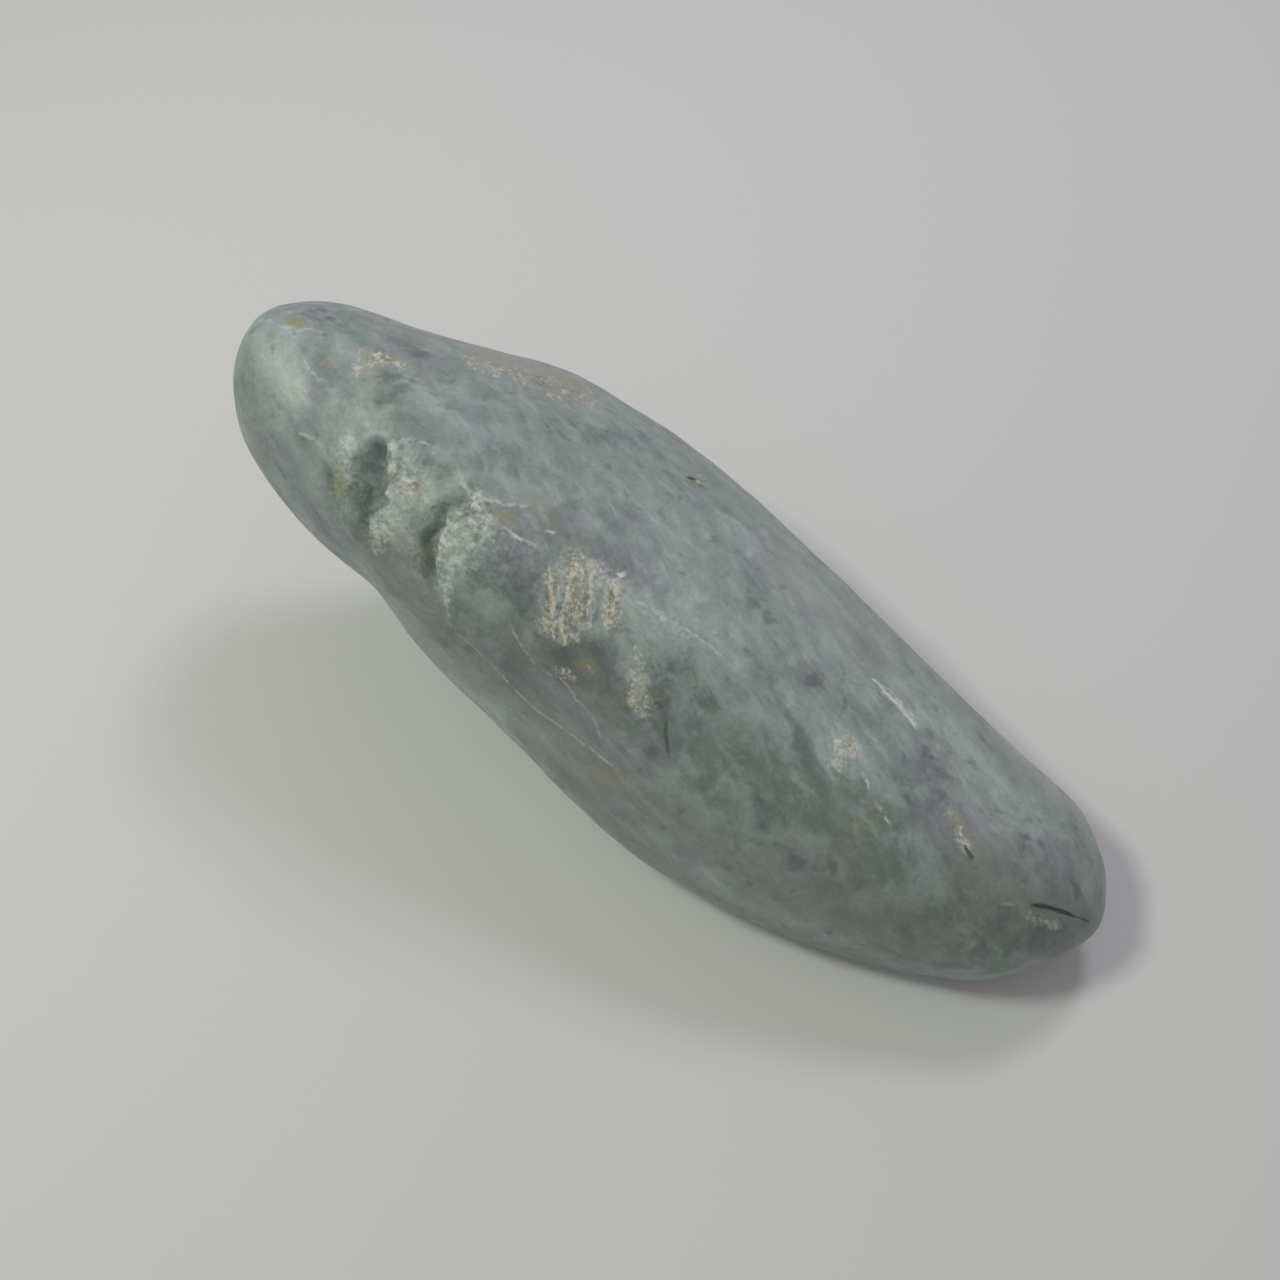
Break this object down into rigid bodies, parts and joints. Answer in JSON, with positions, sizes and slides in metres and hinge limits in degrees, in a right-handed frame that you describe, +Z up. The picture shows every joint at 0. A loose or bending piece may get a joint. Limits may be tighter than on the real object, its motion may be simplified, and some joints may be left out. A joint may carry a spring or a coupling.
{
  "type": "beach pebble",
  "caption": "Long sea-worn jadeite pebble with a raised nose, a soft crest, stepped flake scars and a worn flat to lie on.",
  "frame": {"origin": "under the middle of the stone's bounding box, on the plane it lies on", "axes": "+X along the stone from its raised nose to its tail, +Z up"},
  "size_m": [0.083, 0.0339, 0.0317],
  "materials": {
    "jadeite": "sea-worn satin, mottled grey-green and lavender with cream crust"
  },
  "bodies": {
    "root": {"pebble": "jadeite"}
  },
  "joints": []
}
